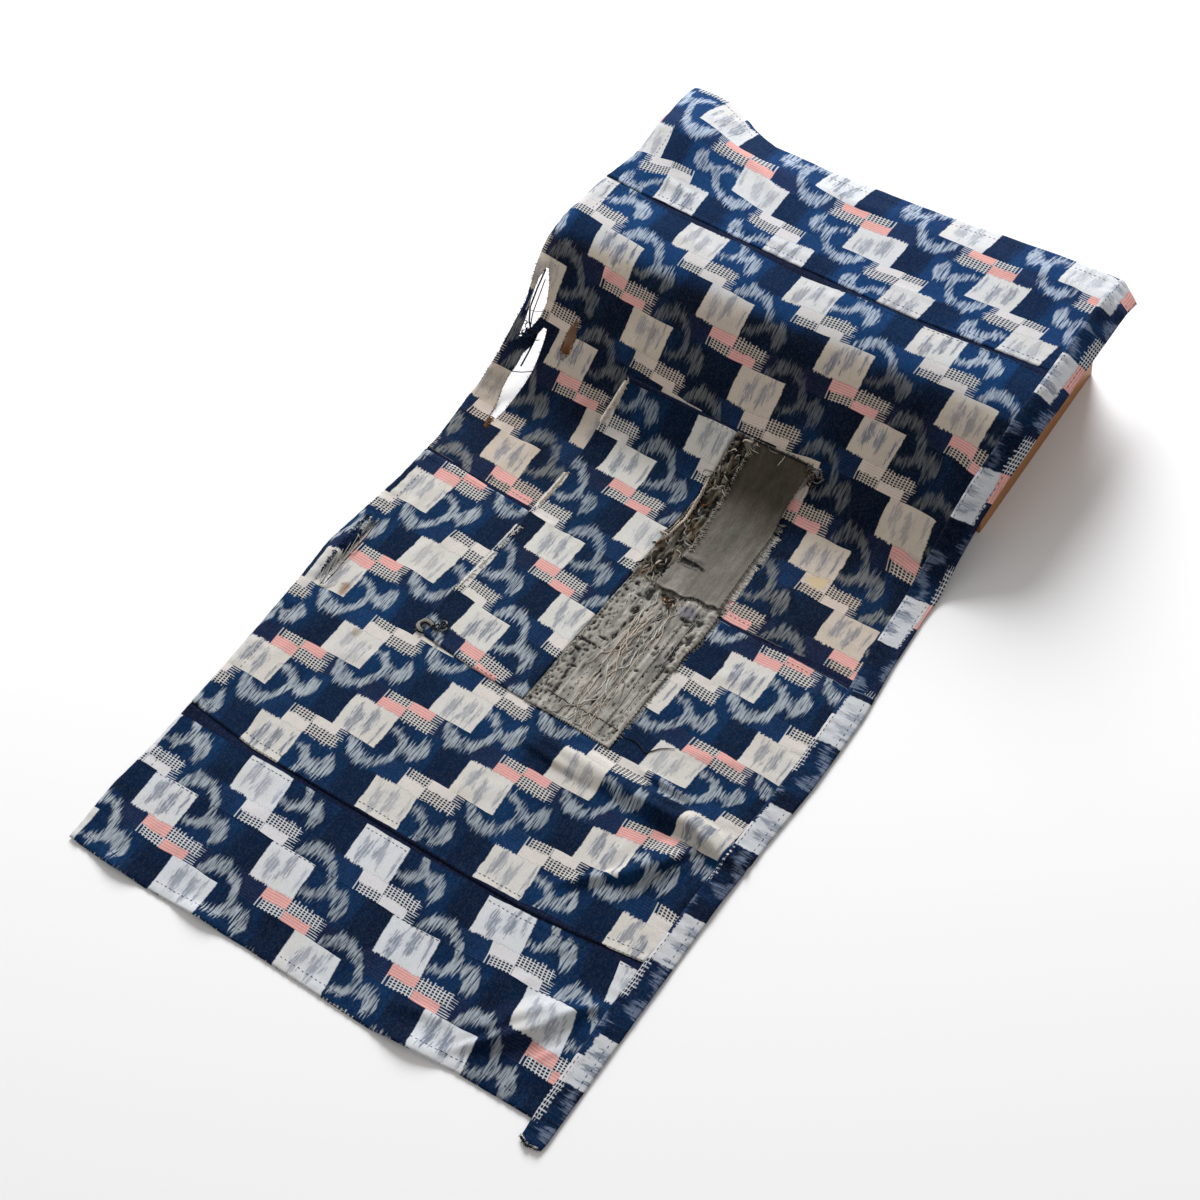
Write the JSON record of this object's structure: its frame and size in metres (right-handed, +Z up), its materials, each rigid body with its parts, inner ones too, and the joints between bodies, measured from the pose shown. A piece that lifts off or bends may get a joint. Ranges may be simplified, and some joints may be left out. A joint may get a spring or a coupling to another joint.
{
  "type": "kasuri cloth draped over a wooden stand",
  "caption": "Patched indigo kasuri cloth, flat at its near end and draped over a low round-fronted wooden stand at its far end.",
  "frame": {"origin": "on the floor, under the middle of the whole piece", "axes": "+X across the cloth's width, +Y along its length from the near hem to the stand, +Z up"},
  "size_m": [0.5522, 1.0214, 0.1182],
  "materials": {
    "kasuri": "matte",
    "kasuri_patch": "matte",
    "plain_patch": "matte",
    "kasuri_band": "matte",
    "wood": "satin"
  },
  "bodies": {
    "root": {"panel_hem": "kasuri", "panel_middle": "kasuri", "panel_upper": "kasuri", "panel_top": "kasuri", "patch_kasuri": "kasuri_patch", "patch_plain": "plain_patch", "edge_strip": "kasuri_band", "stand_side_left": "wood", "stand_side_right": "wood", "stand_shell": "wood", "stand_back": "wood"}
  },
  "joints": []
}
